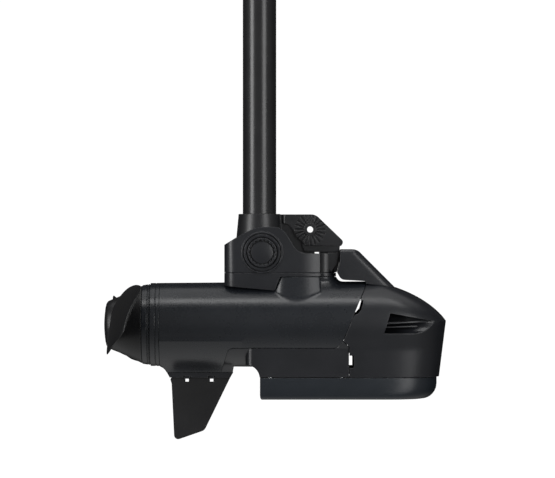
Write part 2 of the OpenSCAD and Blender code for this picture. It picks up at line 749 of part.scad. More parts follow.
module controller_board() { color("darkgreen") translate([15, -31, -4]) cube([60, 62, 1.6]); }
module board_mosfets() {
    color(black) for (i = [0:5]) translate([19 + i * 9, 16, -2.35]) cube([6.5, 9, 2.4]);
}
module board_capacitors() {
    color(slate) for (i = [0:2]) translate([24 + i * 13, -22, -2.35]) cylinder(h = 18, r = 5.6);
}
module heat_sink() {
    color(steel) difference() {
        intersection() {
            along_x(14, 76, bore_r - gap);
            translate([0, -50, -50]) cube([100, 100, 45.8]);
        }
        for (i = [-2:2]) translate([10, i * 13 - 4, -60]) cube([70, 8, 49]);
    }
}
module front_cap() {
    color(black) difference() {
        along_x(cap_rear, cap_front, bore_r - gap);
        along_x(cap_rear - 1, cap_front - 3.5, bore_r - 7);
        ring_x(cap_rear + 2.5, cap_rear + 5.5, bore_r + 5, bore_r - 2.4);
    }
}
module cap_seal_ring() { color(rubber) torus_x(cap_rear + 4, bore_r - 1.2, 1.1); }
module snap_ring() {
    color(steel) difference() {
        ring_x(cap_front + 0.6, cap_front + 2.4, bore_r + 1.4, bore_r - 4);
        translate([cap_front, -6, 30]) cube([6, 12, 20]);
    }
}

// ---------- propeller ----------

// Control points of a blade's two edges: radius, angle round the axis, and place along it
blade_upper = [[33, 60, -151.7], [66, 29.5, -141.4], [99, 28, -134.8], [blade_tip_r, 18.8, -123.2]];
blade_lower = [[33, -39, -159.8], [66, -28.5, -165.7], [99, -13.7, -168.7], [blade_tip_r, -3.7, -144.6]];
function bezier(c, t) =
    pow(1 - t, 3) * c[0] + 3 * t * pow(1 - t, 2) * c[1] + 3 * t * t * (1 - t) * c[2] + t * t * t * c[3];
function blade_thick(t) = blade_tip_thick + (blade_root_thick - blade_tip_thick) * pow(1 - t, 1.3);
// Half thickness of a section at share q of its chord, round at both edges
function foil(q) = sqrt(max(0, 1 - pow(abs(2 * q - 1), 2.4)));
// Point of a blade: t runs out along the span, q from the lower edge to the upper one
function blade_point(t, q, face) =
    let (upper = bezier(blade_upper, t), lower = bezier(blade_lower, t), trim = tip_trim(t),
         place = lower + (upper - lower) * (trim + (1 - 2 * trim) * q), r = place[0],
         run = upper[2] - lower[2], arc = (upper[1] - lower[1]) * PI / 180 * r, chord = norm([run, arc]),
         off = face * blade_thick(t) / 2 * foil(q) + blade_camber * (1 - pow(2 * q - 1, 2)),
         angle = place[1] + off * run / chord / r * 180 / PI)
    [place[2] - off * arc / chord, -r * cos(angle), r * sin(angle)];
// Share of the chord cut off at each end, which rounds the tip's corners
function tip_trim(t) = t < 0.93 ? 0 : 0.09 * pow((t - 0.93) / 0.07, 2.5);
function blade_ring(t, n = 12) = concat(
    [for (i = [0:n]) blade_point(t, i / n, -1)],
    [for (i = [n - 1:-1:1]) blade_point(t, i / n, 1)]);
module blade() {
    spans = [0, 0.07, 0.15, 0.24, 0.33, 0.42, 0.51, 0.6, 0.69, 0.78, 0.86, 0.93, 0.965, 0.985, 1];
    loft([for (t = spans) blade_ring(t)]);
}
module propeller() {
    color(black) difference() {
        union() {
            turned_x([
                [hub_rear, 0], [hub_rear, 21.6], [hub_rear + 0.9, 24], [hub_rear + 3, 26.2],
                [-141, 37], [-131.5, 41.4], [hub_front, 42.4], [hub_front, 0]]);
            blade();
            rotate([180, 0, 0]) blade();
        }
        along_x(-175, -100, 6.1);
        along_x(-180, -153.5, 17);
        turned_x([[-150, 14], [-150, 30], [-141, 34.2], [hub_front + 1, 39.6], [hub_front + 1, 14]]);
        translate([-137, -16, -2.7]) cube([10, 32, 5.4]);
    }
}
module drive_pin() { color(steel) cylinder_y(-133.4, 0, -15, 15, 2.5); }
module prop_washer() { color(steel) ring_x(-155.2, -153.6, 10, 5.1); }
module prop_nut() {
    color(steel) difference() {
        translate([-162.4, 0, 0]) rotate([0, 90, 0]) cylinder(h = 7.1, r = 9.8, $fn = 6);
        along_x(-170, -150, 5.05);
    }
}
module hub_cap() {
    color(black) difference() {
        union() {
            along_x(-169, -163.2, 16.85);
            turned_x([
                [-170.6, 0], [-170.4, 7], [-169.9, 13], [-169.1, 19.4],
                [-168.9, 20.2], [-168.6, 20.2], [-168.6, 0]]);
        }
        along_x(-165.6, -160, 13);
    }
}

// ---------- fairing, nose and pod ----------

// Lower fairing's outside: the barrel above, flat flanks below with an arch behind
// them, and the front of the pylon
module fairing_envelope() {
    barrel_envelope();
    pylon_solid();
    difference() {
        upright(rounded([[-15, -pod_half_w, 9], [123, -pod_half_w, 0], [123, pod_half_w, 0], [-15, pod_half_w, 9]]),
            pod_top + seam / 2, pod_top + 34);
        cylinder_y(-14, -57.5, -60, 60, 14.3);
    }
}
module lower_fairing() {
    color(charcoal) difference() {
        intersection() {
            fairing_envelope();
            across(fairing_outline(), -70, 70);
        }
        along_x(-120, 140, core_r + gap);
        difference() {
            translate([4, -pod_half_w + 3, -70]) cube([120, 2 * pod_half_w - 6, 45]);
            pod_bosses(0);
            pod_bosses(1);
        }
        for (s = pod_screw_places) translate([s[0], s[1], -70]) cylinder(h = 22, r = 2.02);
        // the core's own pylon ends here, and the rail fits below
        translate([-60, -40, -80]) cube([40, 80, 27.5]);
    }
}
// Bosses that take the pod's screws, one pair of them, each with a rib to the wall
module pod_bosses(pair) {
    s = pod_screw_places[pair * 2 + 1];
    for (side = [-1, 1]) translate([s[0], side * s[1], -80]) {
        cylinder(h = 34, r = 4.5);
        translate([-1.5, side > 0 ? 0 : -12, 0]) cube([3, 12, 34]);
    }
}
// Pocket in the nose's flank, with a rib along it
gill_outline = [[142, 12.6], [135.8, -8], [165, -8], [178, -6], [188, -1], [196, 4.8], [170, 9.2]];
module gill_cut(side) {
    mirror([0, side < 0 ? 1 : 0, 0]) difference() {
        intersection() {
            across(gill_outline, 5, 60);
            // floor of the pocket, running out at the nose's flank
            upright([[120, 35], [205, 14], [205, 70], [120, 70]], -20, 20);
        }
        translate([138, 20, 0.4]) rotate([0, 2, -14]) cube([52, 18, 4.6]);
    }
}
module nose_shell() {
    difference() {
        nose_envelope();
        nose_envelope(3.2, pod_top - 5);
    }
}
module nose_cone() {
    color(charcoal) difference() {
        union() {
            nose_shell();
            for (side = [-1, 1]) intersection() {
                nose_envelope();
                mirror([0, side < 0 ? 1 : 0, 0])
                    upright([[132, 32], [202, 11], [202, 60], [132, 60]], -12, 16);
            }
            intersection() {
                nose_envelope();
                union() {
                    pod_bosses(2);
                    translate([118, -20, arm_screw_head + 3]) cube([14, 40, 30]);
                }
            }
        }
        for (s = pod_screw_places) translate([s[0], s[1], -70]) cylinder(h = 22, r = 2.02);
        for (side = [-1, 1]) translate([arm_screw_x, side * arm_screw_y, 20]) cylinder(h = 40, r = 2.1);
        behind_seam(-seam / 2);
        across(fairing_outline(seam), -70, 70);
        gill_cut(1);
        gill_cut(-1);
        // drain slots at the seams, open from side to side
        across([[97, 11], [107.5, 27], [113.3, 27], [110.8, 17], [107, 12.6], [103, 11]], -60, 60);
        translate([96, -60, -46.2]) cube([6.9, 120, 13.4]);
        // sonar lead's way up to the arm
        translate([riser_x, 0, 20]) cylinder(h = 60, r = 5.5);
    }
}
// Pod's level at height z: rounded below along its sides, and more so at its front
side_round = 5.4;
front_round = 16.5;
function rounding(r, above) = above > r ? 0 : r - sqrt(max(0, r * r - pow(r - above, 2)));
module pod_level(above) {
    inset = rounding(side_round, above);
    tip = 194.8 - rounding(front_round, above);
    translate([0, 0, pod_top - pod_depth + above]) linear_extrude(0.02)
        polygon(pod_plan(inset, tip + inset, 0.7 - inset * 0.6));
}
module sonar_pod() {
    pod_floor = pod_top - pod_depth;
    color(slate) difference() {
        intersection() {
            translate([-10, -60, pod_floor]) cube([220, 120, pod_depth - seam]);
            hull() for (above = [0, 0.6, 1.6, 3.2, 5.4, 8.5, 12, 16.5, pod_depth]) pod_level(above);
        }
        difference() {
            upright(pod_plan(3, 180), pod_floor + 3.5, pod_top + 1);
            for (s = pod_screw_places) translate([s[0], s[1], pod_floor]) cylinder(h = pod_depth - 6.2, r = 4.5);
        }
        for (s = pod_screw_places) translate([s[0], s[1], pod_floor - 1]) cylinder(h = 30, r = 2.2);
        for (s = pod_screw_places) translate([s[0], s[1], pod_floor - 1]) cylinder(h = 3.6, r = 4);
    }
}
pod_screw_places = [[12, -30], [12, 30], [90, -30], [90, 30], [158, -20], [158, 20]];
module pod_lid() {
    color(slate) difference() {
        upright(pod_plan(3.3, 180), pod_top - 6, pod_top - 3);
        translate([riser_x, 0, -80]) cylinder(h = 30, r = 4.2);
        for (s = pod_screw_places) translate([s[0], s[1], -80]) cylinder(h = 40, r = 2.05);
    }
}
module pod_screws() {
    color(steel) for (s = pod_screw_places) translate([s[0], s[1], pod_top - pod_depth]) difference() {
        union() {
            translate([0, 0, 2.6]) cylinder(h = 30, r = 2);
            translate([0, 0, 0.3]) cylinder(h = 2.3, r = 3.7);
        }
        translate([0, 0, -1]) cylinder(h = 2.9, r = 1.7, $fn = 6);
    }
}
module chirp_element() {
    color(steel) translate([40, 0, pod_top - pod_depth + 3.7]) cylinder(h = 10, r = 19);
}
module scan_elements() {
    color(steel) {
        translate([70, -5, pod_top - pod_depth + 3.7]) cube([96, 10, 7]);
        for (side = [-1, 1])
            translate([70, side * 19.5, pod_top - pod_depth + 9.5]) rotate([side * -30, 0, 0])
            translate([0, -5, -3]) cube([80, 10, 6]);
    }
}
module temperature_stud() {
    color(steel) translate([15, 0, pod_top - pod_depth - 0.7]) cylinder(h = 0.68, r = 3, $fn = 48);
}

// ---------- skeg ----------

rail_outline = [[-101.7, -52.5], [-98.6, -58.1], [-32, -58.1], [-28.9, -52.5]];
latch_x = [-79.6, -52.6];
module skeg_rail() {
    color(black) difference() {
        across(rail_outline, -6.5, 6.5);
        across([[-97, -60], [-97, -54.4], [-35, -54.4], [-35, -60]], -2.6, 2.6);
        for (x = latch_x) translate([x - 4, -8, -60]) cube([8, 16, 3.8]);
        for (x = rail_screw_x) translate([x, 0, -54.5]) cylinder(h = 4, r1 = 2.6, r2 = 1.6);
    }
}
skeg_outline = rounded([
    [-98.6, -58.4, 2], [-96.6, -65, 6], [-93.6, -127.8, 4.5], [-60.4, -116.3, 8], [-32.2, -58.4, 0]]);
module skeg() {
    color(slate) difference() {
        union() {
            across(skeg_outline, -2.4, 2.4);
            across([[-96.6, -60], [-96.6, -54.7], [-35.4, -54.7], [-35.4, -60]], -2.4, 2.4);
        }
        for (x = latch_x) translate([x - 1.9, -8, -62.9]) cube([3.8, 16, 7]);
    }
}
module rail_screws() {
    color(steel) for (x = rail_screw_x) translate([x, 0, 0]) {
        translate([0, 0, -54.35]) cylinder(h = 1.3, r1 = 2.4, r2 = 1.5);
        translate([0, 0, -53.1]) cylinder(h = 8.5, r = 1.5);
    }
}
module skeg_latches() {
    color(black) for (x = latch_x) difference() {
        union() {
            translate([x - 1.75, -4.8, -59.5]) cube([3.5, 9.6, 3.2]);
            for (side = [-1, 1]) translate([x - 3, side * 3.8 - 1, -59.5]) cube([6, 2, 3.2]);
        }
    }
}

// ---------- leads ----------

// Sweeps a round section along points, turning it with the path
module swept(path, r, sides) {
    n = len(path);
    loft([for (i = [0:n - 1])
        let (
            t = unit(path[min(i + 1, n - 1)] - path[max(i - 1, 0)]),
            side = unit(cross([0, 1, 0], t)),
            up = cross(t, side))
        [for (j = [0:sides - 1]) let (a = 360 * j / sides) path[i] + r * (cos(a) * side + sin(a) * up)]]);
}
motor_lead_r = 4.3;
sonar_lead_r = 2.7;
riser_x = 138;        // the sonar lead's way up through the nose
motor_lead_x = -4.6;  // the two leads' places in the shaft
sonar_lead_x = 7.2;
lead_top = 352;
motor_route = [[lead_x, 0, -2], [lead_x, 0, 10], [lead_x, 0, 25], [lead_x, 0, 40], [lead_x, 0, 55], [41, 0, 62],
    [36, 0, 68], [28, 0, 71.5], [18, 0, 73], [8, 0, 75.5], [0, 0, 81], [-3.8, 0, 89], [motor_lead_x, 0, 98],
    [motor_lead_x, 0, 140], [motor_lead_x, 0, 220], [motor_lead_x, 0, 300], [motor_lead_x, 0, lead_top]];
sonar_route = [[riser_x, 0, -69.9], [riser_x, 0, -50], [riser_x, 0, -20], [riser_x, 0, 15], [riser_x, 0, 32],
    [137.3, 0, 40], [134.4, 0, 48], [129, 0, 54.6], [120, 0, 63.2], [113, 0, 69], [105, 0, duct_z],
    [90, 0, duct_z], [70, 0, duct_z], [54, 0, duct_z], [44, 4, 71.8], [34, 8, 72.6], [24, 9, 73.4], [15, 7.9, 74.9],
    [9.8, 5.4, 80.5], [7.8, 2.2, 87], [sonar_lead_x, 0, 94], [sonar_lead_x, 0, 120],
    [sonar_lead_x, 0, 200], [sonar_lead_x, 0, 280],
    [sonar_lead_x, 0, lead_top]];
module motor_lead() { color(rubber) swept(motor_route, motor_lead_r, 12); }
module sonar_lead() { color(rubber) swept(sonar_route, sonar_lead_r, 10); }
module lead_connectors() {
    color(black) {
        translate([motor_lead_x, 0, lead_top + 0.1]) cylinder(h = 14, r = 6.2);
        translate([sonar_lead_x, 0, lead_top + 0.1]) cylinder(h = 14, r = 4.2);
    }
}

frame() {
    shaft_tube();
    shaft_coupler();
    coupler_screws();
    side_cover_right();
    side_cover_left();
    cover_screws();
    base_collar();
    port_cap();
    port_seal();
    cable_arm();
    arm_screws();
    motor_housing();
    lead_gland();
    rear_bell();
    bell_seal_ring();
    bell_screws();
    prop_shaft_seal();
    bearing_outer_races();
    bearing_inner_races();
    bearing_balls();
    bearing_cages();
    stator_core();
    stator_coils();
    rotor_core();
    rotor_magnets();
    prop_shaft();
    front_bulkhead();
    sensor_magnet();
    sensor_board();
    controller_board();
    board_mosfets();
    board_capacitors();
    heat_sink();
    front_cap();
    cap_seal_ring();
    snap_ring();
    propeller();
    drive_pin();
    prop_washer();
    prop_nut();
    hub_cap();
    lower_fairing();
    nose_cone();
    sonar_pod();
    pod_lid();
    pod_screws();
    chirp_element();
    scan_elements();
    temperature_stud();
    skeg_rail();
    rail_screws();
    skeg();
    skeg_latches();
    motor_lead();
    sonar_lead();
    lead_connectors();
}
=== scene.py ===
"""Looks of a trolling motor's underwater unit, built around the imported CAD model."""
import json
import math
import bmesh
import bpy
import numpy as np
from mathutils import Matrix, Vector


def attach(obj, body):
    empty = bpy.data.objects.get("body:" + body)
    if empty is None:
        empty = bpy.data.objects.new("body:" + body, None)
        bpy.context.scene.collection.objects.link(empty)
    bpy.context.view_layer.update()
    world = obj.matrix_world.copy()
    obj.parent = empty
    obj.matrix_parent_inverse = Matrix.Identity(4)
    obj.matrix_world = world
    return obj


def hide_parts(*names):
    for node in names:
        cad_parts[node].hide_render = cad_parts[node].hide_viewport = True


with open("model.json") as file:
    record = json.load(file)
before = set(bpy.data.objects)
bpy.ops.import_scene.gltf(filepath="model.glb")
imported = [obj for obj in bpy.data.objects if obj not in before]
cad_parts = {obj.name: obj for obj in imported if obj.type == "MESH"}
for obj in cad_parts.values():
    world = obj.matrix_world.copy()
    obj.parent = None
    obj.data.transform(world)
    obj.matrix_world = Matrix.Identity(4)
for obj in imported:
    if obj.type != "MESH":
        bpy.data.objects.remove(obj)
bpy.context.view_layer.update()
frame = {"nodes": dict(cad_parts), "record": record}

MM = 0.001
AXIS_Z = -0.370            # height of the motor's axis in the row frame
CENTRE = Vector((0.02, 0, AXIS_Z + 0.07))
CAMERA_AT = (0.0198, -3.4, AXIS_Z + 0.094)
LENS_MM = 200.5
FLOOR_Z = -0.60
# Brightness of the room by the height of the direction, -1 straight down and 1 straight up
ROOM_LEVELS = [(-0.98, 0.80), (-0.75, 0.45), (-0.40, 0.20), (-0.10, 0.18), (0.05, 0.25), (0.60, 0.26),
               (0.72, 0.04), (0.98, 0.10)]
scene = bpy.context.scene


# ---------- node helpers ----------

class Nodes:
    """Short way to add nodes to one tree: n("ShaderNodeMath", {0: a, 1: 2.0}, operation="ADD")."""

    def __init__(self, tree):
        self.tree = tree
        tree.nodes.clear()

    def __call__(self, kind, inputs=None, **settings):
        made = self.tree.nodes.new(kind)
        for name, value in settings.items():
            setattr(made, name, value)
        for key, value in (inputs or {}).items():
            if isinstance(value, bpy.types.NodeSocket):
                self.tree.links.new(value, made.inputs[key])
            else:
                made.inputs[key].default_value = value
        return made

    def math(self, operation, a, b=0.0, clamp=False):
        return self("ShaderNodeMath", {0: a, 1: b}, operation=operation, use_clamp=clamp).outputs[0]

    def spread(self, value, from_low, from_high, to_low, to_high):
        """value's range from_low..from_high carried over to to_low..to_high, and held at its ends."""
        return self("ShaderNodeMapRange", {
            "Value": value, "From Min": from_low, "From Max": from_high,
            "To Min": to_low, "To Max": to_high}).outputs["Result"]

    def noise(self, vector, scale, detail=2.0, roughness=0.5):
        return self("ShaderNodeTexNoise", {
            "Vector": vector, "Scale": scale, "Detail": detail, "Roughness": roughness}).outputs[0]

    def mix(self, factor, a, b):
        made = self("ShaderNodeMix", {0: factor}, data_type="RGBA")
        for socket, value in ((made.inputs[6], a), (made.inputs[7], b)):
            if isinstance(value, bpy.types.NodeSocket):
                self.tree.links.new(value, socket)
            else:
                socket.default_value = value
        return made.outputs[2]


def rgba(colour):
    return (*colour, 1.0)


# ---------- materials ----------

RIM_MM = 0.8               # radius that softens the CAD solids' sharp rims
PATCH_SCALE = 28.0         # noise scale of the broad patches of tone
SCUFF_SCALE = 210.0        # noise scale of the scuffs that break up the lighter rims, which are partly wear and partly a painted highlight


def finish(name, colour, worn_and_highlight_colour, rough, metallic=0.0, specular=0.5, grain=0.0, grain_mm=0.8,
           blotch=0.12, rim_wear_and_highlight=0.25, rim_mm=RIM_MM, coat=0.0, stretch=(1, 1, 1)):
    """A hard surface: colour and gloss that vary, a fine grain, softened rims, and a lighter colour
    along them that is partly wear and partly a painted highlight.
    grain is the bump's height in millimetres, and stretch draws it out along an axis."""
    material = bpy.data.materials.new(name)
    material.use_nodes = True
    n = Nodes(material.node_tree)
    place = n("ShaderNodeTexCoord").outputs["Object"]
    drawn = n("ShaderNodeMapping", {"Vector": place, "Scale": stretch}).outputs[0]
    fine = n.noise(drawn, 1 / (grain_mm * MM), 3.0, 0.6)
    broad = n.noise(place, PATCH_SCALE, 4.0, 0.55)
    scuff = n.noise(place, SCUFF_SCALE, 5.0, 0.65)
    rim = n("ShaderNodeBevel", {"Radius": rim_mm * MM}, samples=6).outputs[0]
    flat = n("ShaderNodeNewGeometry").outputs["Normal"]
    turned = n("ShaderNodeVectorMath", {0: rim, 1: flat}, operation="DOT_PRODUCT").outputs["Value"]
    edge = n.spread(turned, 0.98, 0.80, 0.0, 1.0)
    # Lighter colour along the rims, broken up by scuffs: partly wear and partly a painted highlight
    # where rims catch the light
    rim_wear_and_highlight_mask = n.math("MULTIPLY", edge, n.spread(scuff, 0.42, 0.62, 0.0, rim_wear_and_highlight), True)
    tone = n.math("ADD", n.spread(broad, 0.3, 0.7, 0.0, 0.7), n.spread(fine, 0.3, 0.7, 0.0, 0.3))
    dark = tuple(c * (1 - blotch) for c in colour)
    light = tuple(c * (1 + blotch) for c in colour)
    base = n.mix(tone, rgba(dark), rgba(light))
    base = n.mix(rim_wear_and_highlight_mask, base, rgba(worn_and_highlight_colour))
    gloss = n.spread(n.math("ADD", broad, n.math("MULTIPLY", scuff, 0.5)), 0.45, 1.05,
                     rough * 0.88, rough * 1.14)
    normal = n("ShaderNodeBump", {
        "Height": fine, "Distance": grain * MM, "Strength": 1.0 if grain else 0.0,
        "Normal": rim}).outputs[0]
    shader = n("ShaderNodeBsdfPrincipled", {
        "Base Color": base, "Roughness": gloss, "Metallic": metallic, "Normal": normal,
        "Specular IOR Level": specular, "Coat Weight": coat, "Coat Roughness": 0.12})
    n("ShaderNodeOutputMaterial", {"Surface": shader.outputs[0]})
    return material


# The lighter rims set by each finish's wear amount are partly wear and partly a painted highlight
FINISHES = {
    "shaft_composite": finish("shaft_composite", (0.016, 0.016, 0.017), (0.05, 0.05, 0.05), 0.26,
                              grain=0.01, grain_mm=1.2, stretch=(1, 1, 0.02), blotch=0.2),
    "painted_casting": finish("painted_casting", (0.0125, 0.0145, 0.018), (0.085, 0.09, 0.095), 0.27,
                              grain=0.02, grain_mm=0.7, blotch=0.15, rim_wear_and_highlight=0.3),
    "coupler_casting": finish("coupler_casting", (0.0125, 0.013, 0.0145), (0.11, 0.11, 0.11), 0.34,
                              grain=0.03, grain_mm=0.5, blotch=0.2, rim_wear_and_highlight=0.8, rim_mm=1.0),
    "moulded_black": finish("moulded_black", (0.0125, 0.0135, 0.0165), (0.085, 0.088, 0.095), 0.33,
                            grain=0.025, grain_mm=0.45, blotch=0.15, rim_wear_and_highlight=0.8, rim_mm=1.1),
    "pod_plastic": finish("pod_plastic", (0.0115, 0.0155, 0.021), (0.07, 0.078, 0.085), 0.34,
                          grain=0.015, grain_mm=0.5, blotch=0.12, rim_wear_and_highlight=0.6, rim_mm=1.0),
    "prop_plastic": finish("prop_plastic", (0.010, 0.010, 0.0108), (0.06, 0.06, 0.06), 0.36,
                           grain=0.02, grain_mm=0.8, blotch=0.15),
    "stainless": finish("stainless", (0.60, 0.61, 0.62), (0.75, 0.75, 0.75), 0.26, metallic=1.0,
                        grain=0.006, grain_mm=0.25, rim_mm=0.25),
    "bearing_steel": finish("bearing_steel", (0.68, 0.69, 0.71), (0.8, 0.8, 0.8), 0.12,
                            metallic=1.0, grain=0.002, grain_mm=0.3, rim_mm=0.3, blotch=0.05),
    "lamination_steel": finish("lamination_steel", (0.28, 0.29, 0.31), (0.5, 0.5, 0.5), 0.42,
                               metallic=1.0, grain=0.05, grain_mm=0.5, stretch=(1, 0.02, 0.02),
                               rim_mm=0.3),
    "winding_copper": finish("winding_copper", (0.60, 0.26, 0.10), (0.75, 0.4, 0.2), 0.30,
                             metallic=1.0, grain=0.12, grain_mm=0.9, stretch=(0.03, 1, 1),
                             rim_mm=0.8, coat=0.4),
    "magnet": finish("magnet", (0.45, 0.46, 0.48), (0.7, 0.7, 0.7), 0.2, metallic=1.0,
                     grain=0.003, grain_mm=0.4, rim_mm=0.3),
    "aluminium_part": finish("aluminium_part", (0.62, 0.63, 0.65), (0.8, 0.8, 0.8), 0.36,
                             metallic=1.0, grain=0.01, grain_mm=0.3, rim_mm=0.4),
    "seal_rubber": finish("seal_rubber", (0.011, 0.011, 0.012), (0.03, 0.03, 0.03), 0.55,
                          grain=0.02, grain_mm=0.4, rim_mm=0.5),
    "circuit_board": finish("circuit_board", (0.02, 0.11, 0.05), (0.3, 0.25, 0.12), 0.3,
                            grain=0.01, grain_mm=0.8, rim_mm=0.2, coat=0.3),
    "component_black": finish("component_black", (0.02, 0.02, 0.022), (0.08, 0.08, 0.08), 0.45,
                              grain=0.02, grain_mm=0.3, rim_mm=0.3),
    "ceramic": finish("ceramic", (0.55, 0.50, 0.40), (0.7, 0.66, 0.6), 0.5,
                      grain=0.02, grain_mm=0.4, rim_mm=0.4),
    "lead_jacket": finish("lead_jacket", (0.016, 0.016, 0.018), (0.05, 0.05, 0.05), 0.42,
                          grain=0.015, grain_mm=0.4, rim_mm=0.3),
}


def slot_of_each_node():
    return {part["node"]: part["material_slot"] for part in frame["record"]["subparts"]}


# ---------- shapes, in millimetres about the motor's axis ----------

def rounded(points, steps=8):
    """Closed outline through [x, y, corner radius] points."""
    outline = []
    for i, (x, y, radius) in enumerate(points):
        corner = np.array((x, y))
        if not radius:
            outline.append(corner)
            continue
        before = np.array(points[i - 1][:2]) - corner
        after = np.array(points[(i + 1) % len(points)][:2]) - corner
        before, after = before / np.linalg.norm(before), after / np.linalg.norm(after)
        half = math.acos(np.clip(before @ after, -1, 1)) / 2
        middle = before + after
        centre = corner + middle / np.linalg.norm(middle) * radius / math.sin(half)
        start = corner + before * radius / math.tan(half) - centre
        end = corner + after * radius / math.tan(half) - centre
        turn = math.atan2(start[0] * end[1] - start[1] * end[0], start @ end)
        for k in range(steps + 1):
            c, s = math.cos(turn * k / steps), math.sin(turn * k / steps)
            outline.append(centre + (c * start[0] - s * start[1], s * start[0] + c * start[1]))
    return np.array(outline)


def solid(name, points, faces):
    """A mesh object from points in millimetres, moved into the row frame, with its faces outward."""
    mesh = bpy.data.meshes.new(name)
    place = np.asarray(points, float) * MM + (0, 0, AXIS_Z)
    mesh.from_pydata([tuple(p) for p in place], [], [tuple(f) for f in faces])
    b = bmesh.new()
    b.from_mesh(mesh)
    bmesh.ops.recalc_face_normals(b, faces=b.faces)
    b.to_mesh(mesh)
    b.free()
    made = bpy.data.objects.new(name, mesh)
    scene.collection.objects.link(made)
    return made


def loft(name, rings):
    """Skins rings of equal point counts, and closes both ends."""
    rings = np.asarray(rings, float)
    count, around = rings.shape[:2]
    faces = [(i * around + j, i * around + (j + 1) % around,
              (i + 1) * around + (j + 1) % around, (i + 1) * around + j)
             for i in range(count - 1) for j in range(around)]
    faces.append(range(around))
    faces.append(range((count - 1) * around, count * around))
    return solid(name, rings.reshape(-1, 3), faces)


def across(name, outline, y0=-70, y1=70):
    """An outline of (x, z) points carried from one y to another."""
    return loft(name, [[(x, y, z) for x, z in outline] for y in (y0, y1)])


def upright(name, outline, z0, z1):
    """An outline of (x, y) points carried between two heights."""
    return loft(name, [[(x, y, z) for x, y in outline] for z in (z0, z1)])


def circle(radius, sides=128):
    turn = np.arange(sides) * 2 * math.pi / sides
    return radius * np.cos(turn), radius * np.sin(turn)


def turned(name, profile, sides=160):
    """A profile of (x, radius) points turned about the motor's axis."""
    y, z = circle(1.0, sides)
    return loft(name, [np.column_stack((np.full(sides, x), r * y, r * z)) for x, r in profile])


def post(name, x, y, z0, z1, radius):
    """An upright cylinder used to cut a hole."""
    dx, dy = circle(radius, 48)
    return upright(name, np.column_stack((x + dx, y + dy)), z0, z1)


def joined(piece, operation, *others):
    """Cuts the others out of the piece, or adds them to it, and removes them."""
    for other in others:
        modifier = piece.modifiers.new("solid", "BOOLEAN")
        modifier.operation = operation
        modifier.solver = "MANIFOLD"
        modifier.object = other
        bpy.context.view_layer.update()
        result = bpy.data.meshes.new_from_object(
            piece.evaluated_get(bpy.context.evaluated_depsgraph_get()))
        piece.modifiers.clear()
        piece.data = result
        bpy.data.objects.remove(other)
    return piece


def cut(piece, *others):
    return joined(piece, "DIFFERENCE", *others)


# ---------- blended solids, from distance fields ----------

def blend(a, b, reach):
    """Union of two distance fields, with a fillet that reaches that far along each."""
    share = np.clip(0.5 + 0.5 * (b - a) / reach, 0, 1)
    return b + (a - b) * share - reach * share * (1 - share)


def outline_distance(outline, x, y):
    """Signed distance from a closed outline, negative inside."""
    best = np.full(np.shape(x), 1e9)
    inside = np.zeros(np.shape(x), bool)
    for (x0, y0), (x1, y1) in zip(outline, np.roll(outline, -1, axis=0)):
        dx, dy = x1 - x0, y1 - y0
        t = np.clip(((x - x0) * dx + (y - y0) * dy) / (dx * dx + dy * dy), 0, 1)
        best = np.minimum(best, np.hypot(x - x0 - t * dx, y - y0 - t * dy))
        if y0 != y1:
            inside ^= ((y0 > y) != (y1 > y)) & (x < x0 + dx * (y - y0) / dy)
    return np.where(inside, -best, best)


def surface(name, field, low, high, step):
    """Mesh of the field's zero level: one point in each cell that it crosses, drawn onto it."""
    axes = [np.arange(a, b + step, step) for a, b in zip(low, high)]
    level = field(*np.meshgrid(*axes, indexing="ij"))
    cells = np.array(level.shape) - 1
    total, hits = np.zeros((*cells, 3)), np.zeros(cells)
    quads = []
    for axis in range(3):
        near = np.take(level, range(cells[axis]), axis)
        far = np.take(level, range(1, cells[axis] + 1), axis)
        at = np.argwhere((near < 0) != (far < 0))
        u, v = [a for a in range(3) if a != axis]
        at = at[(at[:, u] > 0) & (at[:, v] > 0) & (at[:, u] < cells[u]) & (at[:, v] < cells[v])]
        a, b = near[tuple(at.T)], far[tuple(at.T)]
        place = at.astype(float)
        place[:, axis] += a / (a - b)
        around = []
        for du, dv in ((0, 0), (1, 0), (1, 1), (0, 1)):
            cell = at.copy()
            cell[:, u] -= du
            cell[:, v] -= dv
            np.add.at(total, tuple(cell.T), place)
            np.add.at(hits, tuple(cell.T), 1)
            around.append(np.ravel_multi_index(tuple(cell.T), cells))
        quad = np.stack(around, 1)
        flip = (a < 0) != (axis == 1)
        quad[flip] = quad[flip][:, ::-1]
        quads.append(quad)
    used = hits.ravel() > 0
    number = np.cumsum(used) - 1
    points = (total.reshape(-1, 3)[used] / hits.ravel()[used, None]) * step + [a[0] for a in axes]
    for _ in range(3):
        points = points - field_step(field, points)
    return solid(name, points, number[np.concatenate(quads)].tolist())


def field_step(field, points, nudge=0.05):
    """How far each point is from the field's zero level, along its slope."""
    value = field(*points.T)
    slope = np.stack([(field(*(points + nudge * e).T) - value) / nudge for e in np.eye(3)], 1)
    return slope * (value / np.maximum((slope ** 2).sum(1), 0.05))[:, None]


# ---------- sizes shared with the CAD model ----------

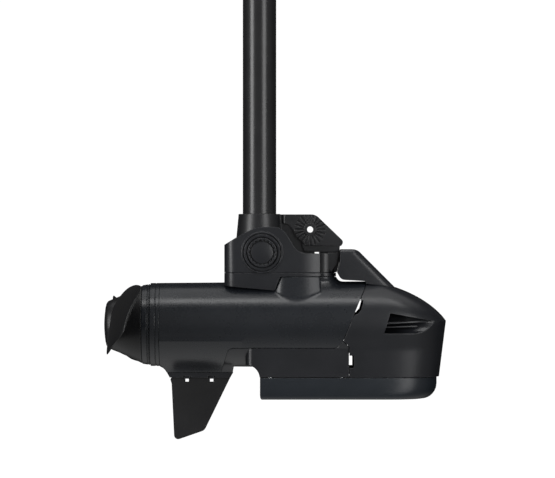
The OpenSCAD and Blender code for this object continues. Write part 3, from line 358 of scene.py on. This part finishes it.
BARREL_REAR = -109.0       # joint between the end bell and the barrel
BARREL_R = 45.7
BARREL_TAPER = 0.0078
CORE_R = 43.3              # the housing's wall under the fairing
BORE_R = 40.2
SADDLE_TOP = 52.5
SADDLE_HALF_W = 30.9
SIDE_R = 70                # radius of the saddle's sides in plan
SADDLE_END = 66.4          # the sides are cut off here, and a narrower nose carries on
SADDLE_FLARE = 0.275       # spread of the saddle's sides for each millimetre down
SADDLE_NOSE_X = 68.7       # centre of the narrower nose in plan
SADDLE_NOSE_R = 15.5
SADDLE_NOSE_FLARE = 0.2
SEAM_X = 98.2              # slanted seam between barrel and nose
SEAM_SLOPE = 0.42
SEAM = 0.6                 # open seam between outer panels
SEAM_LOW = -95.0           # heights between which the slanted seam's cutters reach
SEAM_HIGH = 70.0
PYLON_TOP = -34.0          # height from which the skeg's pylon tapers downward
FAIRING_TOP = -25.1        # height of the fairing's upper edge
FAIRING_FRONT = 97.5       # seam between the fairing and the nose
POD_TOP = -56.7            # joint between the pod and what is above it
LEAD_X = 42.0              # place of the motor lead's gland


def barrel_field(x, y, z):
    return np.hypot(y, z) - (BARREL_R + (x - BARREL_REAR) * BARREL_TAPER)


def fairing_outline(grow=0.0):
    top, front = FAIRING_TOP + grow, FAIRING_FRONT + grow
    return rounded([
        (-44 - grow, -57 - grow, 0), (-33.5 - grow, top, 8), (84 + grow * 0.4, top, 7),
        (91.2 + grow * 0.4, -17.2 + grow, 0), (front, -23, 2.5), (front, -70, 0), (-44 - grow, -70, 0)])


def fairing_recess():
    """Room for the fairing: an open seam at the flanks, and close to it behind them."""
    inner = across("recess", fairing_outline(0.02))
    flanks = [across("seam", fairing_outline(SEAM), *reach) for reach in ((-70, -37), (37, 70))]
    return [inner, *flanks]


def seam_at(z, shift=0.0):
    """Where the slanted seam lies at height z, moved forward by a clearance."""
    return SEAM_X + shift + SEAM_SLOPE * z


def ahead_of_seam(back):
    """Everything in front of the slanted seam, moved back by a clearance."""
    return across("ahead", [
        (seam_at(SEAM_LOW, -back), SEAM_LOW), (240, SEAM_LOW), (240, SEAM_HIGH),
        (seam_at(SEAM_HIGH, -back), SEAM_HIGH)], -90, 90)


def behind_seam(ahead):
    """Everything behind the slanted seam, moved forward by a clearance."""
    return across("behind_seam", [
        (-20, SEAM_LOW), (seam_at(SEAM_LOW, ahead), SEAM_LOW),
        (seam_at(SEAM_HIGH, ahead), SEAM_HIGH), (-20, SEAM_HIGH)], -90, 90)


# ---------- motor housing ----------

def arc(centre, radius, start, end, steps):
    """Points of an arc between two directions in degrees."""
    turn = np.radians(np.linspace(start, end, steps))
    return np.column_stack((centre[0] + radius * np.cos(turn), centre[1] + radius * np.sin(turn)))


def saddle_plan():
    """Plan of the saddle at its top: gently rounded sides, with rounded corners behind."""
    half = np.concatenate((arc((30.6, 11.7), 18, 180, 102.2, 10),
                           arc((41.6, SADDLE_HALF_W - SIDE_R), SIDE_R, 99, 58, 16)))
    return np.concatenate((half, half[::-1] * (1, -1)))


def housing_field(x, y, z):
    fall = SADDLE_TOP - z                       # how far below the saddle's top
    flank = np.maximum(outline_distance(SADDLE_PLAN, x, y) - SADDLE_FLARE * fall,
                       x - SADDLE_END - 0.02 * fall)
    front = np.hypot(x - SADDLE_NOSE_X, y) - SADDLE_NOSE_R - SADDLE_NOSE_FLARE * fall
    drop = PYLON_TOP - z                        # how far below the pylon's upper end
    flanks = (np.abs(y) - 24 + drop * 0.90) * 0.743
    ends = np.maximum(x + 26 + drop * 0.186, (-109 - x + drop * 0.39) * 0.93)
    pylon = np.maximum(np.maximum(flanks, ends), z + 20)
    whole = blend(barrel_field(x, y, z), np.maximum(front, 20 - z), 7.5)
    whole = blend(whole, np.maximum(flank, 12 - z), 1.4)
    whole = blend(whole, pylon, 9.0)
    return np.maximum.reduce([whole, np.abs(x - 4) - 116, z - 57, -56 - z])


SADDLE_PLAN = saddle_plan()


def make_housing():
    """Barrel, saddle and pylon as one casting with its fillets."""
    body = surface("motor_casting", housing_field, (-115, -50, -58), (123, 50, 62), 1.25)
    recess = [cut(part, turned("core", [(-130, CORE_R), (150, CORE_R)])) for part in fairing_recess()]
    return cut(
        body, *recess, ahead_of_seam(SEAM / 2),
        across("behind", [(-140, -90), (BARREL_REAR, -90), (BARREL_REAR, 90), (-140, 90)]),
        across("above", [(-140, SADDLE_TOP), (140, SADDLE_TOP), (140, 90), (-140, 90)]),
        across("below", [(-140, -90), (-20, -90), (-20, -52.3), (-140, -52.3)]),
        turned("bore", [(-130, BORE_R), (150, BORE_R)]),
        post("gland_hole", LEAD_X, 0, 20, 70, 9.0))


# ---------- nose ----------

NOSE_R = 47.3              # where the nose meets the barrel
NOSE_TIP = 205.0           # foremost point of the nose
NOSE_TIP_Z = 4.2           # its height
NOSE_RAKE = 0.125          # how far the nose draws back for each millimetre below its tip
NOSE_CREST = 117.0         # where the nose's crest leaves the barrel's height
NOSE_CURVE = (0.596, 0.26)  # exponents of the crest's curve from there to the tip
NOSE_BLEND = 125.0         # where the nose's sides begin to close
NOSE_SHORTEST = 15.0       # least length over which they close, near the crest
NOSE_BLUNT = 3             # 2 closes them in an ellipse, and more is blunter
FLANK_LEAN = 0.079         # how much the nose's flank widens for each millimetre above the pod
POD_HALF_W = 40.0
NOSE_WALL = 3.2


def nose_reach(z, inset=0.0):
    """How far forward the nose reaches at height z."""
    peak, tip = NOSE_R - inset, NOSE_TIP - inset * 1.3
    if z < NOSE_TIP_Z:
        return tip - (NOSE_TIP_Z - z) * NOSE_RAKE
    u = (z - NOSE_TIP_Z) / (peak - NOSE_TIP_Z)
    return NOSE_CREST + (tip - NOSE_CREST) * max(0, 1 - u) ** NOSE_CURVE[0] * (1 + u) ** NOSE_CURVE[1]


def nose_width(z, inset=0.0):
    """Half width of the nose's rear section at height z: round above, running into flat flanks."""
    half = math.sqrt(max(0.01, (NOSE_R - inset) ** 2 - z * z))
    flank = POD_HALF_W - inset + FLANK_LEAN * (z - POD_TOP)
    return half if z > 0 else float(-blend(-half, -flank, 4.0))


def nose_flank(x, z):
    """Half width of the nose at one place along it."""
    share = max(0.0, x - NOSE_BLEND) / (nose_reach(z) - NOSE_BLEND)
    return nose_width(z) * math.sqrt(max(0.0, 1 - share ** NOSE_BLUNT))


def nose_envelope(name, inset=0.0, low=POD_TOP):
    """The nose's outer form, or the form that lies an inset within it."""
    heights = [*np.linspace(low, -12, 20)]
    heights += [*np.linspace(-10, NOSE_TIP_Z, 6)]
    heights += [(NOSE_R - inset) * math.sin(math.radians(a)) for a in np.arange(7.5, 89, 2.5)]
    turn = np.radians(np.linspace(-90, 90, 91))
    forward = np.maximum(0, np.cos(turn)) ** (2 / NOSE_BLUNT)
    rings = []
    for z in heights:
        start = min(NOSE_BLEND, nose_reach(z, inset) - NOSE_SHORTEST)
        reach, width = nose_reach(z, inset) - start, nose_width(z, inset)
        front = [(start + reach * f, width * math.sin(a), z) for f, a in zip(forward, turn)]
        rings.append([(80, -width, z), *front, (80, width, z)])
    return loft(name, rings)


GILL_TOP = 13.3            # heights of the gill pocket's upper and lower edges
GILL_BOTTOM = -8.8
GILL_DEPTH = 27.0
GILL_REAR = 142.2          # where the pocket's upper rear corner lies
# Front end of the pocket's floor: height and place along the motor's axis
GILL_RUNOUT = [(-8.8, 168.0), (-8.0, 174.0), (-6.4, 179.5), (-2.2, 186.0), (2.7, 190.8), (4.5, 191.6)]


def gill_right(z):
    """Where the pocket ends in front: along its run-out below, and its slanted top edge above."""
    heights, places = zip(*GILL_RUNOUT)
    below = float(np.interp(z, heights, places))
    return min(below, GILL_REAR + (GILL_TOP - z) / 0.18)


def gill_pocket(side):
    """Pocket in the nose's flank whose floor runs out forward, with two ribs left standing in it."""
    rings = []
    for z in np.linspace(GILL_BOTTOM, GILL_TOP - 0.3, 24):
        left = GILL_REAR - (GILL_TOP - z) * 0.305
        right = gill_right(z)
        run = max(right, GILL_RUNOUT[-1][1]) if z > GILL_RUNOUT[-1][0] else right
        ring = []
        for x in np.linspace(left, right, 30):
            depth = min(GILL_DEPTH, 0.5 * (run - x))
            ring.append((x, side * (nose_flank(x, z) - depth), z))
        ring += [(right, side * 62, z), (left, side * 62, z)]
        rings.append(ring)
    pocket = loft("gill_pocket", rings)
    for low, rise, thick, proud, end in ((1.6, 0.045, 1.7, 3.2, 188), (-2.6, 0.03, 1.5, 5.5, 172)):
        places = np.linspace(134, end, 14)
        slab = []
        for x in places:
            z0 = low + rise * (x - 140)
            outer = side * (nose_flank(x, z0) - proud)
            slab.append([(x, side * 8, z0), (x, outer, z0), (x, outer, z0 + thick),
                         (x, side * 8, z0 + thick)])
        pocket = cut(pocket, loft("gill_rib", slab))
    return pocket


def make_nose():
    """Hollow nose shell with its gill pockets and the open slots at its seams."""
    shell = nose_envelope("nose_shell")
    hollow = nose_envelope("hollow", NOSE_WALL, POD_TOP - 6)
    backing = []
    for side in (-1, 1):
        plan = [(132, side * 14), (160, side * 15), (186, side * 14), (202, side * 8),
                (202, side * 60), (132, side * 60)]
        backing.append(upright("gill_backing", plan, -12, 16))
    hollow = cut(hollow, *backing)
    upper_slot = [(97, 11), (107.5, 27), (113.3, 27), (110.8, 17), (107, 12.6), (103, 11)]
    lower_slot = [(96, -46.2), (102.9, -46.2), (102.9, -32.8), (96, -32.8)]
    return cut(shell, hollow, behind_seam(SEAM / 2), *fairing_recess(),
               gill_pocket(-1), gill_pocket(1), across("slot", upper_slot), across("slot", lower_slot),
               post("riser", 138, 0, 20, 80, 5.5))


# ---------- propeller ----------

# Control points of a blade's two edges: radius, turn in degrees, and place along the axis
BLADE_UPPER = [(33, 60, -151.7), (66, 29.5, -141.4), (99, 28, -134.8), (132, 18.8, -123.2)]
BLADE_LOWER = [(33, -39, -159.8), (66, -28.5, -165.7), (99, -13.7, -168.7), (132, -3.7, -144.6)]
HUB_REAR = -168.5
HUB_FRONT = -129.0
BLADE_ROOT_THICK = 9
BLADE_TIP_THICK = 2.4
BLADE_CAMBER = 2           # height of a blade's hollow over its chord
TRIM_START = 0.93          # share of the span from which the tip's corners are rounded off


def bezier(points, t):
    """Point of a cubic curve through its four control points."""
    a, b, c, d = np.array(points, float)
    return (1 - t) ** 3 * a + 3 * t * (1 - t) ** 2 * b + 3 * t * t * (1 - t) * c + t ** 3 * d


def blade_point(t, q, face):
    """Point of a blade: t runs out along the span, q from the lower edge to the upper one."""
    upper, lower = bezier(BLADE_UPPER, t), bezier(BLADE_LOWER, t)
    trim = 0.0 if t < TRIM_START else 0.09 * ((t - TRIM_START) / 0.07) ** 2.5
    r, angle, x = lower + (upper - lower) * (trim + (1 - 2 * trim) * q)
    run, arc = upper[2] - lower[2], math.radians(upper[1] - lower[1]) * r
    chord = math.hypot(run, arc)
    thick = BLADE_TIP_THICK + (BLADE_ROOT_THICK - BLADE_TIP_THICK) * (1 - t) ** 1.3
    foil = math.sqrt(max(0.0, 1 - abs(2 * q - 1) ** 2.4))
    off = face * thick / 2 * foil + BLADE_CAMBER * (1 - (2 * q - 1) ** 2)
    turn = math.radians(angle) + off * run / chord / r
    return (x - off * arc / chord, -r * math.cos(turn), r * math.sin(turn))


def blade(half_turn):
    """One blade, or the same blade half a turn on."""
    spans = [*np.linspace(0, 0.92, 40), *np.linspace(TRIM_START, 1, 14)]
    share = (1 - np.cos(np.linspace(0, math.pi, 25))) / 2
    rings = np.array([[blade_point(t, q, -1) for q in share]
                      + [blade_point(t, q, 1) for q in share[-2:0:-1]] for t in spans])
    if half_turn:
        rings[:, :, 1:] *= -1
    return loft("blade", rings)


def make_propeller():
    """Tapered hub with two blades moulded on it, open at both ends."""
    hub = turned("propeller_moulding", [
        (HUB_REAR, 21.6), (HUB_REAR + 0.3, 23), (HUB_REAR + 0.9, 24), (HUB_REAR + 1.8, 25.3),
        (HUB_REAR + 3, 26.2), (-160, 28.6), (-155, 30.5), (-141, 37), (-131.5, 41.4),
        (-130, 42.1), (HUB_FRONT, 42.4)])
    hub = joined(hub, "UNION", blade(False), blade(True))
    return cut(hub, turned("bore", [(-180, 17), (-153.5, 17), (-153.5, 6.1), (-100, 6.1)]),
               turned("hollow", [(-150, 14), (-150, 30), (-141, 34.2), (-128, 39.6), (-128, 14)]))


def show(piece, name, body, node, slot):
    """Dresses a finished piece, which stands for a CAD node and rides on that node's body."""
    piece.name = name
    piece.data.name = name
    piece.data.materials.clear()
    piece.data.materials.append(FINISHES[slot])
    piece.data.shade_smooth()
    piece.data.set_sharp_from_angle(angle=math.radians(32))
    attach(piece, body)
    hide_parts(node)


# ---------- CAD nodes ----------

def smoothing_group():
    """Joins the solid's faces, and shades them smooth except across sharp edges."""
    tree = bpy.data.node_groups.new("smooth_cad", "GeometryNodeTree")
    tree.interface.new_socket("Geometry", in_out="INPUT", socket_type="NodeSocketGeometry")
    tree.interface.new_socket("Geometry", in_out="OUTPUT", socket_type="NodeSocketGeometry")
    n = Nodes(tree)
    start = n("NodeGroupInput").outputs[0]
    merged = n("GeometryNodeMergeByDistance", {"Geometry": start, "Distance": 0.012 * MM}).outputs[0]
    plain = n("GeometryNodeRemoveAttribute", {"Geometry": merged, "Name": "custom_normal"}).outputs[0]
    faces = n("GeometryNodeSetShadeSmooth", {"Geometry": plain, "Shade Smooth": True}, domain="FACE")
    angle = n("GeometryNodeInputMeshEdgeAngle").outputs["Unsigned Angle"]
    soft = n("FunctionNodeCompare", {0: angle, 1: math.radians(30)}, operation="LESS_THAN").outputs[0]
    edges = n("GeometryNodeSetShadeSmooth", {"Geometry": faces.outputs[0], "Shade Smooth": soft},
              domain="EDGE")
    n("NodeGroupOutput", {0: edges.outputs[0]})
    return tree


def dress_cad_nodes():
    """Gives each CAD node its smooth shading and the finish of its slot."""
    slots = slot_of_each_node()
    group = smoothing_group()
    for name, node in frame["nodes"].items():
        node.modifiers.new("smooth_cad", "NODES").node_group = group
        node.data.materials.clear()
        node.data.materials.append(FINISHES[slots[name]])


# ---------- stage ----------

def make_camera():
    """A long lens, straight at the object's side."""
    data = bpy.data.cameras.new("camera")
    data.lens = LENS_MM
    data.sensor_width = 36
    data.clip_end = 100
    camera = bpy.data.objects.new("camera", data)
    camera.location = CAMERA_AT
    camera.rotation_euler = (math.radians(90), 0, 0)
    scene.collection.objects.link(camera)
    scene.camera = camera


def softbox(name, azimuth, elevation, distance, size, radiance):
    """A flat light that faces the object. Azimuth is from the camera's side, to the right."""
    turn, rise = math.radians(azimuth), math.radians(elevation)
    away = Vector((math.sin(turn) * math.cos(rise), -math.cos(turn) * math.cos(rise),
                   math.sin(rise)))
    data = bpy.data.lights.new(name, "AREA")
    data.shape = "RECTANGLE"
    data.size, data.size_y = size
    data.energy = radiance * math.pi * size[0] * size[1]
    light = bpy.data.objects.new(name, data)
    light.location = CENTRE + away * distance
    light.rotation_euler = away.to_track_quat("Z", "Y").to_euler()
    scene.collection.objects.link(light)


def make_world():
    """White behind the object, and a dim room that brightens upward in its reflections."""
    world = bpy.data.worlds.new("studio")
    world.use_nodes = True
    n = Nodes(world.node_tree)
    place = n("ShaderNodeTexCoord").outputs["Generated"]
    up = n("ShaderNodeSeparateXYZ", {0: place}).outputs["Z"]
    ramp = n("ShaderNodeValToRGB", {0: n.spread(up, -1.0, 1.0, 0.0, 1.0)})
    for height, level in ROOM_LEVELS:
        stop = ramp.color_ramp.elements.new((height + 1) / 2)
        stop.color = (level, level, level, 1)
    ramp.color_ramp.elements.remove(ramp.color_ramp.elements[0])
    ramp.color_ramp.elements.remove(ramp.color_ramp.elements[-1])
    ahead = n.spread(n("ShaderNodeSeparateXYZ", {0: place}).outputs["Y"], -0.3, 0.35, 1.0, 0.12)
    from_floor = n.spread(up, -0.65, -0.4, 1.0, 0.0)
    level = n.math("MULTIPLY", ramp.outputs[0], n.math("MAXIMUM", ahead, from_floor))
    room = n("ShaderNodeBackground", {"Strength": level, "Color": (1, 1, 1, 1)})
    white = n("ShaderNodeBackground", {"Strength": 1.05, "Color": (1, 1, 1, 1)})
    seen = n("ShaderNodeLightPath").outputs["Is Camera Ray"]
    both = n("ShaderNodeMixShader", {0: seen, 1: room.outputs[0], 2: white.outputs[0]})
    n("ShaderNodeOutputWorld", {"Surface": both.outputs[0]})
    scene.world = world


def make_floor():
    """A pale floor that reflections and bounced light leave out."""
    mesh = bpy.data.meshes.new("floor")
    b = bmesh.new()
    bmesh.ops.create_grid(b, x_segments=8, y_segments=8, size=1.6)
    b.to_mesh(mesh)
    b.free()
    floor = bpy.data.objects.new("floor", mesh)
    floor.location = (0, 0, FLOOR_Z)
    scene.collection.objects.link(floor)
    material = bpy.data.materials.new("floor_white")
    material.use_nodes = True
    n = Nodes(material.node_tree)
    place = n("ShaderNodeTexCoord").outputs["Object"]
    tone = n.mix(n.noise(place, 3.0), (0.20, 0.20, 0.20, 1), (0.24, 0.24, 0.24, 1))
    shader = n("ShaderNodeBsdfPrincipled", {
        "Base Color": tone, "Roughness": 0.8, "Emission Color": (1, 1, 1, 1),
        "Emission Strength": 0.95})
    n("ShaderNodeOutputMaterial", {"Surface": shader.outputs[0]})
    mesh.materials.append(material)
    floor.visible_glossy = False
    floor.visible_diffuse = False


def make_stage():
    scene.view_settings.view_transform = "Standard"
    make_world()
    make_floor()
    softbox("left_softbox", -53, 10, 2.6, (0.9, 1.9), 6.6)
    softbox("right_softbox", 33, 10, 2.6, (1.0, 1.9), 4.0)
    softbox("strip_softbox", 0, 68, 2.0, (2.0, 0.44), 5.0)
    softbox("top_softbox", 0, 100, 2.0, (3.2, 1.4), 0.9)


make_camera()
make_stage()
dress_cad_nodes()
show(make_housing(), "motor_casting", "motor_unit", "motor_housing", "painted_casting")
show(make_nose(), "nose_shell", "motor_unit", "nose_cone", "moulded_black")
show(make_propeller(), "propeller_moulding", "rotor", "propeller", "prop_plastic")
